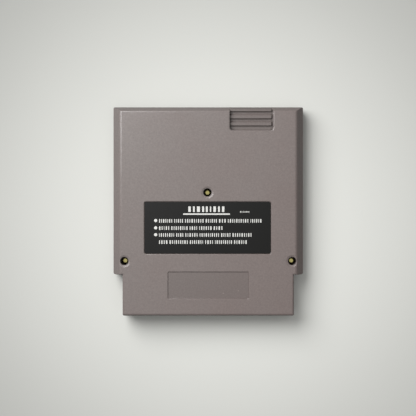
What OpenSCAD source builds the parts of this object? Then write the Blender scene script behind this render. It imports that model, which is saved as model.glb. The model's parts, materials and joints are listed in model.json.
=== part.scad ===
// Moulded game cartridge: two plastic shells closed by three screws around a
// circuit board with a double-sided contact edge. It lies on its front face,
// +Z points out of the rear face and +Y to the grip end.

/* [Body] */
// Width across the wings
body_w = 120; // [112:0.5:128]
// Length from the grip end to the insertion end
body_l = 131.4; // [126:0.2:140]
// Thickness over both shells
body_t = 17; // [16:0.25:20]
// Wall of both shells
wall = 2; // [1.6:0.1:2.3]
// Height of the seam between the shells
seam_z = 8.5; // [8:0.1:9]
// Radius of the upright corners
corner_r = 1.2; // [0.6:0.1:2]
// Height and depth of the fine groove along the seam
seam_groove = 0.3; // [0.2:0.05:0.5]

/* [Rear edges] */
// Width of the long slopes beside the rear face
side_slope_w = 4.55; // [3.5:0.05:5.2]
// Width of the slope at the grip end
end_slope_w = 2.75; // [2.2:0.05:4]
// Height of the rear slopes
rear_slope_h = 6; // [5:0.1:6.5]
// Radius where the long slopes meet the rear face
side_edge_r = 2.4; // [1.2:0.1:3]
// Radius where the end slope meets the rear face
end_edge_r = 1.2; // [0.6:0.1:1.6]

/* [Front edges] */
// Width and height of the bevel around the front face
front_bevel = 3; // [2:0.1:3.6]
// Radius of the small edges
small_edge_r = 0.8; // [0.4:0.1:1.2]

/* [Insertion end] */
// Width of the step from a wing to the neck
wing_step = 6.2; // [5.5:0.1:6.5]
// Length of the neck
neck_l = 25.8; // [24:0.1:30]
// Radius of the neck's long edges
neck_edge_r = 1.2; // [0.6:0.1:1.6]
// Radius of the edges around the mouth
mouth_edge_r = 1.5; // [0.8:0.1:1.8]
// Wall above and below the mouth
mouth_wall = 2.6; // [2.2:0.1:3]
// Lead-in around the inside of the mouth
mouth_lead_in = 0.6; // [0.3:0.1:0.7]
// Distance from the mouth to the cross ribs that end it
mouth_depth = 20; // [18:0.5:22]

/* [Grip recess] */
// Place of the grip recess and of the ribbed column, from the middle
grip_x = 27.2; // [24:0.1:30]
// Width of the grip recess and of the ribbed column
grip_w = 27.3; // [22:0.1:32]
// Length of the grip recess
grip_l = 15; // [12:0.1:18]
// Depth of the grip recess
grip_depth = 3.6; // [3:0.1:4]
// Radius of the recess corners
grip_corner_r = 1.6; // [1:0.1:2.5]
// Width of the bevel along the recess rim
grip_rim = 0.5; // [0.2:0.05:0.8]
// Distance from the grip end to the first step
step_start = 2.9; // [2:0.1:4]
// Distance from step to step
step_pitch = 4.5; // [4:0.05:5.5]
// Height of a step
step_h = 1.1; // [0.6:0.1:1.4]
// Length of the flat crest of a step
step_crest = 1.9; // [1.2:0.1:2.2]
// Length of the ramp that rises to the crest
step_ramp = 1.1; // [0.8:0.1:1.5]
// Gap between the steps and the recess wall
step_side_gap = 1; // [0.6:0.1:1.6]
// Radius of the free corners of a step
step_corner_r = 0.7; // [0.4:0.1:0.9]

/* [Rear label and panel] */
// Width of the label
label_w = 79.1; // [70:0.1:84]
// Length of the label
label_l = 32.3; // [26:0.1:34]
// Thickness of the label
label_t = 0.25; // [0.15:0.05:0.4]
// Sideways offset of the label
label_x = -0.4; // [-1:0.1:1]
// Corner radius of the label
label_corner_r = 1; // [0.6:0.1:2]
// Depth of the label recess
label_recess = 0.5; // [0.45:0.05:0.7]
// Distance from the middle screw to the label
label_screw_gap = 6; // [5:0.1:8]
// Width of the blank panel on the neck
panel_w = 50.6; // [40:0.1:60]
// Length of the blank panel
panel_l = 16.6; // [12:0.1:17.5]
// Depth of the blank panel
panel_depth = 0.4; // [0.2:0.05:0.6]
// Distance from the mouth to the blank panel
panel_mouth_gap = 10.9; // [10:0.1:13]
// Corner radius of the blank panel
panel_corner_r = 0.5; // [0.3:0.1:0.8]
// Width of the bevel along the label and panel rims
pocket_rim = 0.3; // [0.15:0.05:0.4]

/* [Front face] */
// Width of the bare label recess
front_label_w = 58.5; // [50:0.5:60]
// Distance between the label recess and the ribbed column
column_gap = 5.1; // [4:0.1:7]
// Distance from the mouth to the label recess
front_label_start = 30.2; // [28:0.5:36]
// Depth of the label recess, also over the grip end
front_label_depth = 0.4; // [0.3:0.05:0.6]
// Distance from the mouth to the first groove of the column
column_start = 46; // [42:0.5:52]
// Width of a groove at the face
groove_w = 2; // [1.4:0.1:2.4]
// Depth of a groove
groove_depth = 1; // [0.6:0.1:1.2]
// Width of the insertion arrow
arrow_w = 9; // [6:0.5:12]
// Length of the insertion arrow
arrow_l = 6; // [4:0.5:8]
// Depth of the insertion arrow
arrow_depth = 0.4; // [0.2:0.05:0.6]
// Distance from the mouth to the tip of the arrow
arrow_mouth_gap = 6.5; // [5:0.5:10]

/* [Screws] */
// Bore over the screw head
bore_d = 5.2; // [5:0.1:5.6]
// Wall of the tube around the bore
tube_wall = 1.4; // [1.2:0.1:1.6]
// Width of the dished ring around the bore
dish_w = 1.2; // [0.8:0.1:1.4]
// Depth of the dished ring
dish_depth = 0.45; // [0.3:0.05:0.7]
// Height of the ledge that the head seats on
screw_seat_z = 6.8; // [6.6:0.1:7.2]
// Thickness of that ledge
ledge_t = 1.2; // [1:0.1:1.6]
// Distance from the side of the body to an outer screw
outer_screw_inset = 7.3; // [7:0.1:8]
// Distance from the wing's end to an outer screw
outer_screw_gap = 8.5; // [7.5:0.1:10]
// Distance from the board to the middle screw
middle_screw_gap = 9.9; // [9:0.1:14]
// Sideways offset of the middle screw
middle_screw_x = -0.5; // [-1:0.1:1]
// Width of the flange under the head
flange_d = 4.6; // [4.2:0.1:4.8]
// Thickness of the flange
flange_t = 0.6; // [0.4:0.1:0.8]
// Width of the lobed head
lobe_d = 3.8; // [3.4:0.1:4]
// Height of the lobed head
lobe_h = 1.3; // [1:0.1:1.6]
// Width of the head's flat top
head_flat_d = 2.5; // [2.2:0.1:2.8]
// Width of the core under the thread
core_d = 2.6; // [2.4:0.05:2.8]
// Length under the head
shank_l = 5.2; // [4.6:0.1:5.4]

/* [Circuit board] */
// Thickness of the board
board_t = 1.2; // [1:0.1:1.6]
// Length of the board
board_l = 61; // [60:0.5:66]
// Distance from the mouth to the contact edge
board_recess = 6.5; // [5:0.1:8]
// Length of the bevel on the contact edge
contact_bevel_l = 1; // [0.6:0.1:1.4]
// Depth of that bevel on each side
contact_bevel_t = 0.35; // [0.2:0.05:0.4]
// Width of a contact
contact_w = 1.6; // [1.2:0.1:1.8]
// Length of a contact
contact_l = 11; // [9:0.1:11.4]
// Thickness of a contact
contact_t = 0.1; // [0.05:0.01:0.15]
// Distance from contact to contact
contact_pitch = 2.5; // [2.4:0.05:2.6]
// Least distance from the outer contact pitch to the board's side
contact_margin = 3; // [2.5:0.1:3.4]
// Width of the pegs that locate the board
peg_d = 2.8; // [2.4:0.1:3.2]
// Width of the shoulder that carries the board
peg_shoulder_d = 5; // [4.6:0.1:5.6]
// Distance from the board's side to a peg
peg_inset = 4.5; // [4:0.1:5]
// Distance from the mouth to the pegs
peg_gap = 26; // [25:0.1:27]

/* [Chips] */
// Length of a memory chip
memory_l = 36.8; // [36.6:0.1:37.4]
// Width of a memory chip
memory_w = 13.6; // [13:0.1:14]
// Pins along one side of a memory chip
memory_side_pins = 14; // [12:1:14]
// Distance between the pin rows of a memory chip
memory_rows = 15.24; // [15:0.02:15.8]
// Length of the lockout chip
lockout_l = 19.6; // [19.4:0.1:21]
// Width of the lockout chip
lockout_w = 6.3; // [6:0.1:6.6]
// Pins along one side of the lockout chip
lockout_side_pins = 8; // [7:1:8]
// Distance between the pin rows of the lockout chip
lockout_rows = 7.62; // [7.4:0.02:8]
// Thickness of a chip
chip_t = 3.8; // [3.2:0.1:4]
// Height of a chip above the board
chip_lift = 0.5; // [0.3:0.1:0.7]
// Distance between neighbouring chips
chip_gap = 5; // [4.4:0.1:5.2]
// Distance from the board's side to the first chip
chip_margin = 5; // [4:0.1:6]
// Distance from the board's inner end to the middle of the chips
chip_row_gap = 15.5; // [14:0.1:18]
// Distance from pin to pin
pin_pitch = 2.54; // [2.5:0.02:2.58]
// Width of a pin below its shoulder
pin_w = 0.5; // [0.4:0.05:0.6]
// Width of a pin's shoulder
pin_shoulder_w = 1.4; // [1.2:0.1:1.6]
// Thickness of a pin
pin_t = 0.26; // [0.2:0.02:0.3]

/* [Small components] */
// Width of the electrolytic capacitor
can_d = 5; // [4:0.1:5.2]
// Length of the electrolytic capacitor
can_l = 11; // [8:0.5:12]
// Width of a ceramic capacitor
disc_d = 4.4; // [4:0.1:4.8]
// Thickness of a ceramic capacitor
disc_t = 2.2; // [1.8:0.1:2.6]
// Distance between the leads of a ceramic capacitor
disc_leads = 2.54; // [2:0.02:3]
// Distance from one ceramic capacitor to the next
disc_pitch = 13; // [10:0.5:14]
// Width of a resistor
resistor_d = 2.3; // [1.8:0.1:2.5]
// Length of a resistor
resistor_l = 6.3; // [5:0.1:6.5]
// Distance between the leads of a resistor
resistor_leads = 10.16; // [9.5:0.02:10.6]
// Thickness of a component lead
lead_d = 0.6; // [0.5:0.02:0.7]
// Distance from the mouth to the row of small components
small_row_gap = 33; // [32:0.1:35]
// Width of a solder joint at the board
solder_d = 1.7; // [1.4:0.1:1.9]
// Height of a solder joint
solder_h = 0.7; // [0.5:0.1:0.9]

/* [Closing hooks] */
// Width of a hook
hook_w = 8; // [6:0.5:10]
// Thickness of a hook and of its foot
hook_t = 1.5; // [1.2:0.1:1.8]
// Distance of a hook from the middle
hook_x = 34; // [30:0.5:38]
// Height of the ledge that a hook grips
catch_t = 1.8; // [1.4:0.1:2.2]
// Reach of that ledge
catch_reach = 1.4; // [1:0.1:1.6]
// Width and height of the locating lips
lip = 1; // [0.8:0.1:1.4]
// Thickness of the stiffening ribs
rib_t = 1.2; // [1:0.1:1.6]
// Height of the stiffening ribs
rib_h = 2; // [1:0.1:2.4]
// Distance from the grip end to the stiffening ribs
rib_end_gap = 36; // [30:0.5:40]

/* [Fits] */
// Clearance around the board, the label and the hooks
fit = 0.3; // [0.2:0.05:0.4]
// Clearance of a peg, a core or a lip in its seat
close_fit = 0.15; // [0.1:0.01:0.2]
// Clearance around a pin or lead in its hole
hole_fit = 0.15; // [0.1:0.01:0.2]

/* [Hidden] */
$fn = 48;
cut = 1; // how far a cutting tool runs past the surface that it opens

grip_end_y = body_l / 2;
mouth_y = -body_l / 2;
wing_y = mouth_y + neck_l;
neck_w = body_w - 2 * wing_step;
rear_inside_z = body_t - wall;

tube_d = bore_d + 2 * tube_wall;
tube_end_z = screw_seat_z - ledge_t;
outer_screw_x = body_w / 2 - outer_screw_inset;
outer_screw_y = wing_y + outer_screw_gap;

board_w = 2 * (outer_screw_x - tube_d / 2 - fit);
board_z = seam_z - board_t / 2;
board_top_z = board_z + board_t;
board_start_y = mouth_y + board_recess;
board_end_y = board_start_y + board_l;
middle_screw_y = board_end_y + middle_screw_gap;
contact_n = floor((board_w - 2 * contact_margin) / contact_pitch);
peg_x = board_w / 2 - peg_inset;
peg_y = mouth_y + peg_gap;
peg_hole_d = peg_d + 2 * close_fit;

label_y = middle_screw_y - label_screw_gap - label_l / 2;
label_z = body_t - label_recess;

grip_floor_z = body_t - grip_depth;
grip_start_y = grip_end_y - grip_l;
front_label_x = grip_x - grip_w / 2 - column_gap - front_label_w / 2;

chip_z = board_top_z + chip_lift;
chip_y = board_end_y - chip_row_gap;
program_x = -board_w / 2 + chip_margin + memory_l / 2;
graphics_x = program_x + memory_l + chip_gap;
lockout_x = graphics_x + memory_l / 2 + chip_gap + lockout_w / 2;
pin_hole_d = norm([pin_w, pin_t]) + 2 * hole_fit;
pin_end_z = board_z - solder_h - 2 * hole_fit;

small_row_y = mouth_y + small_row_gap;
can_x = program_x - can_l / 2;
can_lead_gap = can_d / 2;
disc_x = program_x + memory_l / 2;
resistor_x = graphics_x + memory_l / 2;
lead_hole_d = lead_d + 2 * hole_fit;

screw_points = [
    [middle_screw_x, middle_screw_y],
    [-outer_screw_x, outer_screw_y],
    [outer_screw_x, outer_screw_y]
];

// Outline arithmetic for convex outlines that run anticlockwise

function unit(v) = v / norm(v);
function left_of(v) = [-v[1], v[0]];
function around(points, i) = points[(i + len(points)) % len(points)];
function heading(points, i) = unit(around(points, i + 1) - around(points, i));

// The step from a corner to where two edges moved in by 1 mm would cross
function inset_step(points, i) =
    let (before = left_of(heading(points, i - 1)), after = left_of(heading(points, i)))
    (before + after) / (1 + before * after);

function inset_outline(points, d) =
    [for (i = [0:len(points) - 1]) points[i] + d * inset_step(points, i)];

// Distance from a corner to where a radius of 1 mm leaves its edges
function tangent_step(points, i) =
    sqrt(pow(norm(inset_step(points, i)), 2) - 1);

function mirrored_x(points) =
    concat(points, [for (i = [len(points) - 1:-1:0]) [-points[i][0], points[i][1]]]);

// A convex outline whose corners are true arcs
module rounded_outline(points, radii) {
    polygon([
        for (i = [0:len(points) - 1])
            let (t = radii[i] * tangent_step(points, i))
            each [
                points[i] - t * heading(points, i - 1),
                points[i] + t * heading(points, i)
            ]
    ]);
    for (i = [0:len(points) - 1])
        translate(points[i] + radii[i] * inset_step(points, i))
            circle(radii[i]);
}

module rounded_rectangle(size, r) {
    half = size / 2;
    rounded_outline(
        [[-half[0], -half[1]], [half[0], -half[1]], [half[0], half[1]], [-half[0], half[1]]],
        [r, r, r, r]
    );
}

// Extrudes a section drawn in X and Z along Y
module along_y(from, to) {
    translate([0, to, 0])
        rotate([90, 0, 0])
            linear_extrude(to - from)
                children();
}

// Extrudes a section drawn in Y and Z along X, about the middle
module along_x(length) {
    rotate([90, 0, 90])
        linear_extrude(length, center = true)
            children();
}

// A bar from one corner to the opposite one
module bar(low, high) {
    translate(low)
        cube(high - low);
}

module mirrored_pair() {
    children();
    mirror([1, 0, 0])
        children();
}

// The outer form, a crossing of plan, cross section and long section

cross_section = mirrored_x([
    [body_w / 2 - front_bevel, 0],
    [body_w / 2, front_bevel],
    [body_w / 2, body_t - rear_slope_h],
    [body_w / 2 - side_slope_w, body_t]
]);
cross_radii_side = [small_edge_r, small_edge_r, small_edge_r, side_edge_r];
cross_radii = concat(cross_radii_side, [for (i = [3:-1:0]) cross_radii_side[i]]);

long_section = [
    [wing_y, 0],
    [grip_end_y - front_bevel, 0],
    [grip_end_y, front_bevel],
    [grip_end_y, body_t - rear_slope_h],
    [grip_end_y - end_slope_w, body_t],
    [wing_y, body_t]
];
long_radii = [small_edge_r, small_edge_r, small_edge_r, small_edge_r, end_edge_r, small_edge_r];

body_middle_y = (grip_end_y + wing_y) / 2;
body_plan = [body_w, grip_end_y - wing_y];

module wide_body() {
    intersection() {
        translate([0, body_middle_y, 0])
            linear_extrude(body_t)
                rounded_rectangle(body_plan, corner_r);
        along_y(wing_y, grip_end_y)
            rounded_outline(cross_section, cross_radii);
        along_x(body_w)
            rounded_outline(long_section, long_radii);
    }
}

// The same form moved in all round by a wall, with sharp edges
module wide_body_inset(d) {
    intersection() {
        translate([0, body_middle_y, 0])
            linear_extrude(body_t)
                square(body_plan - [2 * d, 2 * d], center = true);
        along_y(wing_y, grip_end_y)
            polygon(inset_outline(cross_section, d));
        along_x(body_w)
            polygon(inset_outline(long_section, d));
    }
}

neck_overlap = 2 * wall;

module neck() {
    half = neck_w / 2;
    join_y = wing_y + neck_overlap;
    intersection() {
        along_y(mouth_y, join_y)
            translate([0, body_t / 2])
                rounded_rectangle([neck_w, body_t], neck_edge_r);
        along_x(neck_w)
            rounded_outline(
                [[mouth_y, 0], [join_y + body_t, 0], [join_y + body_t, body_t], [mouth_y, body_t]],
                [mouth_edge_r, mouth_edge_r, mouth_edge_r, mouth_edge_r]
            );
        translate([0, (mouth_y + join_y + body_t) / 2, 0])
            linear_extrude(body_t)
                rounded_rectangle([neck_w, join_y + body_t - mouth_y], corner_r);
    }
}

module outer_form() {
    wide_body();
    neck();
}

mouth_inside_x = neck_w / 2 - wall;

// A flare of 45 degrees all round the inside edge of the mouth
module mouth_lead_in_cutter() {
    low_y = mouth_y - cut;
    high_y = mouth_y + mouth_lead_in;
    inside_z = body_t / 2 - mouth_wall;
    reach = mouth_lead_in + cut;
    intersection() {
        linear_extrude(body_t)
            polygon([
                [-mouth_inside_x - reach, low_y],
                [mouth_inside_x + reach, low_y],
                [mouth_inside_x, high_y],
                [-mouth_inside_x, high_y]
            ]);
        along_x(body_w)
            translate([0, body_t / 2])
                polygon([
                    [low_y, -inside_z - reach],
                    [high_y, -inside_z],
                    [high_y, inside_z],
                    [low_y, inside_z + reach]
                ]);
    }
}

module cavity() {
    wide_body_inset(wall);
    mouth_lead_in_cutter();
    bar(
        [-mouth_inside_x, mouth_y - cut, mouth_wall],
        [mouth_inside_x, wing_y + neck_overlap, body_t - mouth_wall]
    );
}

module seam_groove_cutter() {
    translate([0, 0, seam_z - seam_groove / 2])
        linear_extrude(seam_groove)
            difference() {
                square([body_w + 2 * cut, body_l + 2 * cut], center = true);
                translate([0, body_middle_y])
                    square(body_plan - [2 * seam_groove, 2 * seam_groove], center = true);
                translate([0, (mouth_y + seam_groove + wing_y + neck_overlap) / 2])
                    square(
                        [neck_w - 2 * seam_groove, neck_l + neck_overlap - seam_groove],
                        center = true
                    );
            }
}

module half_space(from_z, to_z) {
    bar([-body_w, -body_l, from_z], [body_w, body_l, to_z]);
}

// Pockets in the rear face

// The section of a rim bevel, twice as wide as deep, on both sides of a pocket
module flare_section(width, flare) {
    polygon([
        [-width / 2, -flare / 2],
        [width / 2, -flare / 2],
        [width / 2 + flare + 2 * cut, cut],
        [-width / 2 - flare - 2 * cut, cut]
    ]);
}

// A pocket with round corners whose rim flares out by the flare at its top
module flared_pocket(size, r, depth, flare) {
    straight = size - [2 * r, 2 * r];
    translate([0, 0, -depth])
        linear_extrude(depth + cut)
            rounded_rectangle(size, r);
    along_y(-straight[1] / 2, straight[1] / 2)
        flare_section(size[0], flare);
    along_x(straight[0])
        flare_section(size[1], flare);
    for (x = [-1, 1], y = [-1, 1])
        translate([x * straight[0] / 2, y * straight[1] / 2, -flare / 2])
            cylinder(r1 = r, r2 = r + flare + 2 * cut, h = flare / 2 + cut);
}

module label_pocket() {
    translate([label_x, label_y, body_t])
        flared_pocket(
            [label_w + 2 * fit, label_l + 2 * fit],
            label_corner_r + fit,
            label_recess,
            pocket_rim
        );
}

module panel_pocket() {
    translate([0, mouth_y + panel_mouth_gap + panel_l / 2, body_t])
        flared_pocket([panel_w, panel_l], panel_corner_r, panel_depth, pocket_rim);
}

// One step: it rises from the recess floor to a crest and drops towards the mouth
module grip_step(width, crest) {
    length = crest + step_ramp;
    intersection() {
        along_x(width)
            polygon([[0, -cut], [length, -cut], [length, 0], [crest, step_h], [0, step_h]]);
        translate([0, length / 2, -cut])
            linear_extrude(cut + step_h)
                rounded_rectangle([width, length], step_corner_r);
    }
}

module grip_steps() {
    steps_w = grip_w - step_side_gap + cut;
    step_n = floor((grip_l - step_start) / step_pitch) + 1;
    translate([grip_x - (step_side_gap + cut) / 2, 0, grip_floor_z])
        for (i = [0:step_n - 1])
            translate([0, grip_end_y - step_start - i * step_pitch, 0])
                grip_step(steps_w, i == 0 ? step_start + cut : step_crest);
}

module grip_cutter() {
    length = 2 * grip_l;
    difference() {
        translate([grip_x, grip_start_y + length / 2, body_t])
            flared_pocket([grip_w, length], grip_corner_r, grip_depth, grip_rim);
        grip_steps();
    }
}

module grip_backing() {
    bar(
        [grip_x - grip_w / 2 - wall, grip_start_y - wall, grip_floor_z - wall],
        [grip_x + grip_w / 2 + wall, grip_end_y, body_t]
    );
}

// Screw tubes, bosses, pegs and sleeves

module screw_tubes() {
    for (p = screw_points)
        translate([p[0], p[1], tube_end_z])
            cylinder(d = tube_d, h = body_t - tube_end_z);
}

module screw_bores() {
    for (p = screw_points)
        translate(p) {
            translate([0, 0, screw_seat_z])
                cylinder(d = bore_d, h = body_t - screw_seat_z + cut);
            translate([0, 0, tube_end_z - cut])
                cylinder(d = core_d + 2 * fit, h = ledge_t + 2 * cut);
            translate([0, 0, body_t - dish_depth])
                cylinder(
                    d1 = bore_d,
                    d2 = bore_d + 2 * dish_w * (1 + cut / dish_depth),
                    h = dish_depth + cut
                );
        }
}

module screw_bosses() {
    for (p = screw_points)
        translate(p)
            cylinder(d = tube_d, h = tube_end_z - close_fit);
}

module pilot_holes() {
    pilot_start_z = screw_seat_z - shank_l - fit;
    for (p = screw_points)
        translate([p[0], p[1], pilot_start_z])
            cylinder(d = core_d + close_fit, h = body_t);
}

module board_pegs() {
    mirrored_pair()
        translate([peg_x, peg_y, 0]) {
            cylinder(d = peg_shoulder_d, h = board_z);
            cylinder(d = peg_d, h = board_top_z + peg_d / 2);
        }
}

module board_sleeves() {
    mirrored_pair()
        translate([peg_x, peg_y, board_top_z + close_fit])
            cylinder(d = peg_shoulder_d, h = body_t - board_top_z - close_fit);
}

module sleeve_bores() {
    mirrored_pair()
        translate([peg_x, peg_y, board_top_z - cut])
            cylinder(d = peg_hole_d, h = cut + peg_d / 2 + fit);
}

// Ribs of both shells

module cross_rib(from_z, to_z) {
    y = mouth_y + mouth_depth;
    half = mouth_inside_x + wall / 2;
    bar([-half, y - rib_t / 2, from_z], [half, y + rib_t / 2, to_z]);
}

module side_guides(from_z, to_z) {
    mirrored_pair()
        bar(
            [board_w / 2 + fit, board_start_y, from_z],
            [mouth_inside_x + wall / 2, mouth_y + mouth_depth, to_z]
        );
}

module stiffening_rib(from_z, to_z) {
    y = grip_end_y - rib_end_gap;
    bar([-body_w / 2, y - rib_t / 2, from_z], [body_w / 2, y + rib_t / 2, to_z]);
}

// Hooks and lips

catch_y = grip_end_y - wall - catch_reach;
catch_top_z = seam_z - fit;
hook_foot_top_z = catch_top_z - catch_t - fit;

module hooks() {
    mirrored_pair()
        translate([hook_x - hook_w / 2, 0, 0]) {
            bar(
                [0, catch_y - fit - hook_t, hook_foot_top_z - hook_t],
                [hook_w, catch_y - fit, rear_inside_z + wall / 2]
            );
            bar(
                [0, catch_y - fit - hook_t, hook_foot_top_z - hook_t],
                [hook_w, grip_end_y - wall - fit, hook_foot_top_z]
            );
        }
}

module catches() {
    mirrored_pair()
        bar(
            [hook_x - hook_w / 2, catch_y, catch_top_z - catch_t],
            [hook_x + hook_w / 2, grip_end_y - wall / 2, catch_top_z]
        );
}

module locating_lips() {
    lip_out_x = body_w / 2 - wall - close_fit;
    lip_start_y = outer_screw_y + tube_d / 2 + wall;
    lip_end_y = grip_end_y - rib_end_gap / 2;
    mirrored_pair() {
        bar([lip_out_x - lip, lip_start_y, seam_z - lip], [lip_out_x, lip_end_y, seam_z + lip]);
        bar(
            [lip_out_x - lip, lip_start_y, seam_z],
            [lip_out_x + wall / 2, lip_end_y, seam_z + lip]
        );
    }
}

// The two shells

module rear_shell() {
    color([0.55, 0.51, 0.49])
        difference() {
            union() {
                intersection() {
                    difference() {
                        outer_form();
                        cavity();
                    }
                    half_space(seam_z, body_t + cut);
                }
                intersection() {
                    outer_form();
                    union() {
                        grip_backing();
                        screw_tubes();
                        board_sleeves();
                        cross_rib(board_top_z + close_fit, body_t - wall);
                        side_guides(seam_z, body_t - wall);
                        stiffening_rib(rear_inside_z - rib_h, body_t - wall / 2);
                        hooks();
                        locating_lips();
                    }
                }
            }
            grip_cutter();
            screw_bores();
            sleeve_bores();
            seam_groove_cutter();
            label_pocket();
            panel_pocket();
        }
}

// What lies outside the front surface moved in by a depth
module front_skin(d) {
    difference() {
        children();
        wide_body_inset(d);
    }
}

module front_label_cutter() {
    half = front_label_w / 2;
    front_skin(front_label_depth)
        bar(
            [front_label_x - half, mouth_y + front_label_start, -cut],
            [front_label_x + half, grip_end_y + cut, seam_z - wall / 2]
        );
}

module column_grooves() {
    groove_n = floor((body_l - column_start - front_bevel) / step_pitch);
    taper = groove_depth / 2;
    translate([grip_x, 0, 0])
        for (i = [0:groove_n - 1])
            translate([0, mouth_y + column_start + i * step_pitch, 0])
                along_x(grip_w)
                    polygon([
                        [-groove_w / 2, -cut],
                        [groove_w / 2, -cut],
                        [groove_w / 2, 0],
                        [groove_w / 2 - taper, groove_depth],
                        [-groove_w / 2 + taper, groove_depth],
                        [-groove_w / 2, 0]
                    ]);
}

module arrow_cutter() {
    tip_y = mouth_y + arrow_mouth_gap;
    translate([0, 0, -cut])
        linear_extrude(cut + arrow_depth)
            polygon([[0, tip_y], [arrow_w / 2, tip_y + arrow_l], [-arrow_w / 2, tip_y + arrow_l]]);
}

module front_shell() {
    color([0.56, 0.52, 0.50])
        difference() {
            union() {
                intersection() {
                    difference() {
                        outer_form();
                        cavity();
                    }
                    half_space(-cut, seam_z);
                }
                intersection() {
                    outer_form();
                    union() {
                        screw_bosses();
                        board_pegs();
                        cross_rib(wall, board_z);
                        side_guides(wall, seam_z);
                        stiffening_rib(wall / 2, wall + rib_h);
                        catches();
                    }
                }
            }
            front_label_cutter();
            column_grooves();
            arrow_cutter();
            pilot_holes();
            seam_groove_cutter();
        }
}

module rear_label() {
    color([0.2, 0.2, 0.2])
        translate([label_x, label_y, label_z])
            linear_extrude(label_t)
                rounded_rectangle([label_w, label_l], label_corner_r);
}

// Screws

// A screw with a sloping flange and six lobes around its head
module screw(p) {
    top = flange_t + lobe_h;
    color([0.78, 0.72, 0.42])
        translate([p[0], p[1], screw_seat_z])
            difference() {
                rotate_extrude()
                    polygon([
                        [0, -shank_l],
                        [core_d / 4, -shank_l],
                        [core_d / 2, -shank_l + core_d / 2],
                        [core_d / 2, 0],
                        [flange_d / 2, 0],
                        [flange_d / 2, flange_t / 2],
                        [lobe_d / 2, flange_t],
                        [lobe_d / 2, top - lobe_h / 3],
                        [head_flat_d / 2, top],
                        [0, top]
                    ]);
                for (i = [0:5])
                    rotate(60 * i)
                        translate([0.57 * lobe_d, 0, flange_t])
                            cylinder(d = lobe_d / 3, h = lobe_h + cut);
            }
}

module middle_screw() {
    screw(screw_points[0]);
}

module left_screw() {
    screw(screw_points[1]);
}

module right_screw() {
    screw(screw_points[2]);
}

// Where pins and leads go through the board

function pin_row(side_pins, i) = (i - (side_pins - 1) / 2) * pin_pitch;

module at_memory_pins() {
    for (x = [program_x, graphics_x], i = [0:memory_side_pins - 1], side = [-1, 1])
        translate([x + pin_row(memory_side_pins, i), chip_y + side * memory_rows / 2])
            rotate(90)
                children();
}

module at_lockout_pins() {
    for (i = [0:lockout_side_pins - 1], side = [-1, 1])
        translate([lockout_x + side * lockout_rows / 2, chip_y + pin_row(lockout_side_pins, i)])
            children();
}

lead_points = concat(
    [for (side = [-1, 1]) [can_x + can_l / 2 + can_lead_gap, small_row_y + side * can_lead_gap / 2]],
    [for (i = [0:2], side = [-1, 1]) [disc_x + i * disc_pitch + side * disc_leads / 2, small_row_y]],
    [
        for (row = [-1, 1], side = [-1, 1])
            [resistor_x + side * resistor_leads / 2, small_row_y + row * resistor_d]
    ]
);

// Circuit board

module board_plan() {
    difference() {
        translate([-board_w / 2, board_start_y])
            square([board_w, board_l]);
        mirrored_pair()
            translate([peg_x, peg_y])
                circle(d = peg_hole_d);
        at_memory_pins()
            circle(d = pin_hole_d);
        at_lockout_pins()
            circle(d = pin_hole_d);
        for (p = lead_points)
            translate(p)
                circle(d = lead_hole_d);
    }
}

// The section along the board, narrowed at the contact edge
module board_section() {
    end_y = board_start_y + board_l;
    bevel_y = board_start_y + contact_bevel_l;
    polygon([
        [board_start_y, contact_bevel_t],
        [bevel_y, 0],
        [end_y, 0],
        [end_y, board_t],
        [bevel_y, board_t],
        [board_start_y, board_t - contact_bevel_t]
    ]);
}

module circuit_board() {
    color([0.16, 0.38, 0.22])
        translate([0, 0, board_z])
            intersection() {
                linear_extrude(board_t)
                    board_plan();
                along_x(board_w)
                    board_section();
            }
}

module contacts(z) {
    color([0.83, 0.68, 0.33])
        for (i = [0:contact_n - 1])
            translate([
                (i - (contact_n - 1) / 2) * contact_pitch - contact_w / 2,
                board_start_y + contact_bevel_l,
                z
            ])
                cube([contact_w, contact_l, contact_t]);
}

module front_contacts() {
    contacts(board_z - contact_t);
}

module rear_contacts() {
    contacts(board_top_z);
}

// Chips

// A chip body along X with drafted sides and an index notch at one end
module chip_body(l, w) {
    draft = chip_t / 10;
    notch_r = w / 8;
    difference() {
        intersection() {
            along_x(l)
                polygon([
                    [-w / 2 + draft, 0],
                    [w / 2 - draft, 0],
                    [w / 2, chip_t / 2],
                    [w / 2 - draft, chip_t],
                    [-w / 2 + draft, chip_t],
                    [-w / 2, chip_t / 2]
                ]);
            along_y(-w / 2, w / 2)
                polygon([
                    [-l / 2 + draft, 0],
                    [l / 2 - draft, 0],
                    [l / 2, chip_t / 2],
                    [l / 2 - draft, chip_t],
                    [-l / 2 + draft, chip_t],
                    [-l / 2, chip_t / 2]
                ]);
        }
        translate([-l / 2, 0, chip_t - notch_r])
            cylinder(r = notch_r, h = notch_r + cut);
    }
}

// One pin: a shoulder from the chip's side, then a leg down through the board
module chip_pin(reach) {
    middle_z = chip_lift + chip_t / 2;
    translate([-reach, -pin_shoulder_w / 2, middle_z])
        cube([reach, pin_shoulder_w, pin_t]);
    translate([0, 0, pin_t + middle_z])
        rotate([0, 90, 0])
            linear_extrude(pin_t)
                polygon([
                    [0, -pin_shoulder_w / 2],
                    [pin_t + middle_z, -pin_shoulder_w / 2],
                    [pin_t + middle_z, -pin_w / 2],
                    [pin_t + middle_z + board_top_z - pin_end_z, -pin_w / 2],
                    [pin_t + middle_z + board_top_z - pin_end_z, pin_w / 2],
                    [pin_t + middle_z, pin_w / 2],
                    [pin_t + middle_z, pin_shoulder_w / 2],
                    [0, pin_shoulder_w / 2]
                ]);
}

// Both pin rows of a chip that lies along X
module pin_rows(side_pins, rows, w) {
    for (i = [0:side_pins - 1], side = [0, 1])
        translate([pin_row(side_pins, i), 0, 0])
            rotate(90 + 180 * side)
                translate([rows / 2 - pin_t / 2, 0, 0])
                    chip_pin(rows / 2 - pin_t / 2 - w / 2);
}

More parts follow.
